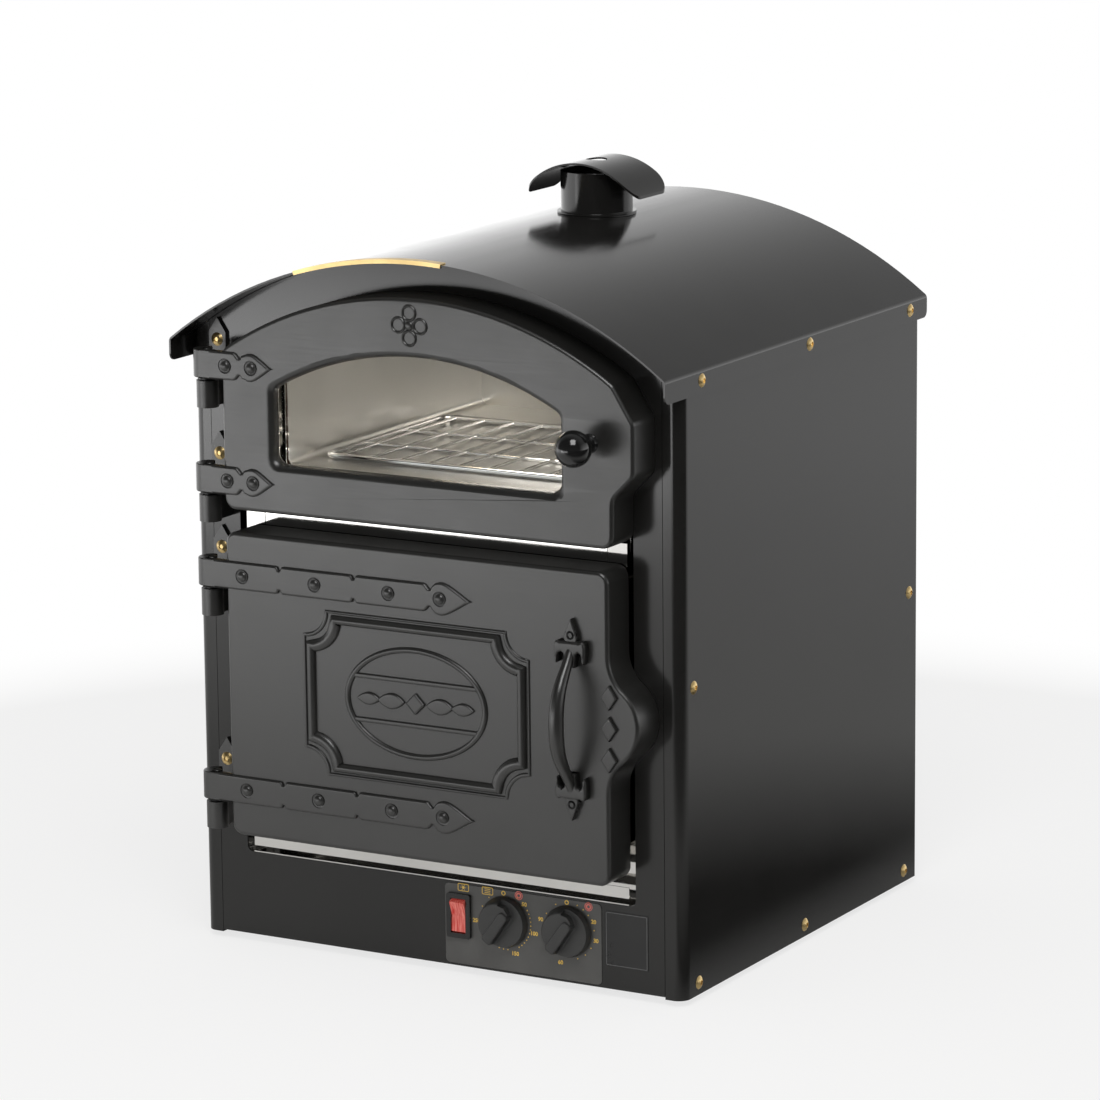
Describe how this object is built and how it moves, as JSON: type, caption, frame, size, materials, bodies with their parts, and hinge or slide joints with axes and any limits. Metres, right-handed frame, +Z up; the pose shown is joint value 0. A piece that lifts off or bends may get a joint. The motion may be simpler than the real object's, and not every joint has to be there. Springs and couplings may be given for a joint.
{
  "type": "baked potato oven",
  "caption": "Countertop baked potato oven with an arched roof and short flue, a glazed display door above, an oven door below and a control panel at the foot.",
  "frame": {"origin": "bottom centre of the whole object's box, on the surface that the feet stand on", "axes": "+Z up, the doors face -Y, +X to the right as seen from the front"},
  "size_m": [0.4582, 0.5074, 0.628],
  "materials": {
    "black_coat": "satin black powder coat",
    "cast_black": "black coated casting",
    "stainless": "polished stainless sheet",
    "zinc_sheet": "zinc coated sheet",
    "chrome_wire": "chrome plated wire",
    "steel": "bright steel",
    "brass": "brass",
    "door_screws": "blackened steel",
    "rubber": "black rubber",
    "silicone": "heat-proof silicone",
    "wool": "mineral wool",
    "element": "oxidised sheathed element",
    "fan_metal": "plain aluminium",
    "motor": "grey painted motor",
    "magnet": "black magnet case",
    "ceramic": "white ceramic, with a plastic's weight",
    "lamp": "clear lamp bulb",
    "glass": "clear toughened glass",
    "gloss_black": "black gloss plastic",
    "label": "dark grey printed foil",
    "plate": "dark foil",
    "rocker": "clear red plastic, lit from inside",
    "control_body": "black moulded plastic",
    "gland": "black nylon"
  },
  "bodies": {
    "cabinet": {"right_side_panel": "black_coat", "left_side_panel": "black_coat", "fascia": "black_coat", "roof_sheet": "black_coat", "flue_pipe": "black_coat", "flue_cowl": "black_coat", "hinge_brackets": "cast_black", "door_surround": "stainless", "cross_rail": "stainless", "oven_liner": "stainless", "display_liner": "stainless", "transfer_duct": "stainless", "rack_runners": "stainless", "fan_guard": "stainless", "base_pan": "zinc_sheet", "chassis_posts": "zinc_sheet", "support_rails": "zinc_sheet", "back_panel": "zinc_sheet", "hinge_pins": "steel", "casing_screws": "brass", "roof_edge_trim": "brass", "feet": "rubber", "oven_insulation": "wool", "display_insulation": "wool", "heating_element": "element", "fan_motor": "motor", "catch_magnets": "magnet", "lamp_holder": "ceramic", "display_lamp": "lamp", "switch_housing": "gloss_black", "control_label": "label", "rating_plate": "plate", "thermostat_body": "control_body", "timer_body": "control_body", "cable_gland": "gland"},
    "lower_door": {"lower_door_casting": "cast_black", "lower_door_inner_panel": "stainless", "lower_door_insulation": "wool", "lower_door_seal": "silicone", "lower_door_handle": "cast_black", "handle_screws": "door_screws", "lower_strike_plate": "steel"},
    "upper_door": {"upper_door_casting": "cast_black", "upper_door_glass": "glass", "glass_retainer": "stainless", "upper_door_inner_frame": "stainless", "upper_door_seal": "silicone", "upper_door_knob": "gloss_black", "upper_strike_plate": "steel"},
    "fan": {"fan_impeller": "fan_metal", "fan_shaft": "steel"},
    "rocker": {"switch_rocker": "rocker"},
    "thermostat_control": {"thermostat_knob": "gloss_black", "thermostat_spindle": "steel"},
    "timer_control": {"timer_knob": "gloss_black", "timer_spindle": "steel"},
    "lower_rack": {"lower_oven_rack": "chrome_wire"},
    "upper_rack": {"upper_oven_rack": "chrome_wire"},
    "display_shelf": {"display_rack": "chrome_wire"}
  },
  "joints": [
    {"name": "lower_door_hinge", "type": "hinge", "parent": "cabinet", "child": "lower_door", "pos_m": [-0.193, -0.20475, 0.229], "axis": [0, 0, -1], "range_deg": [0, 120]},
    {"name": "upper_door_hinge", "type": "hinge", "parent": "cabinet", "child": "upper_door", "pos_m": [-0.193, -0.20475, 0.442], "axis": [0, 0, -1], "range_deg": [0, 120]},
    {"name": "fan_spin", "type": "hinge", "parent": "cabinet", "child": "fan", "pos_m": [0, 0.18, 0.227], "axis": [0, 1, 0], "continuous": true},
    {"name": "switch_press", "type": "hinge", "parent": "cabinet", "child": "rocker", "pos_m": [0.0205, -0.17725, 0.0495], "axis": [-1, 0, 0], "range_deg": [0, 16]},
    {"name": "thermostat_turn", "type": "hinge", "parent": "cabinet", "child": "thermostat_control", "pos_m": [0.063, -0.18, 0.05], "axis": [0, 1, 0], "range_deg": [-35, 235]},
    {"name": "timer_turn", "type": "hinge", "parent": "cabinet", "child": "timer_control", "pos_m": [0.1212, -0.18, 0.05], "axis": [0, 1, 0], "range_deg": [-35, 275]},
    {"name": "lower_rack_slide", "type": "slide", "parent": "cabinet", "child": "lower_rack", "axis": [0, -1, 0], "range_m": [0, 0.018]},
    {"name": "upper_rack_slide", "type": "slide", "parent": "cabinet", "child": "upper_rack", "axis": [0, -1, 0], "range_m": [0, 0.018]},
    {"name": "display_rack_slide", "type": "slide", "parent": "cabinet", "child": "display_shelf", "axis": [0, -1, 0], "range_m": [0, 0.018]}
  ]
}
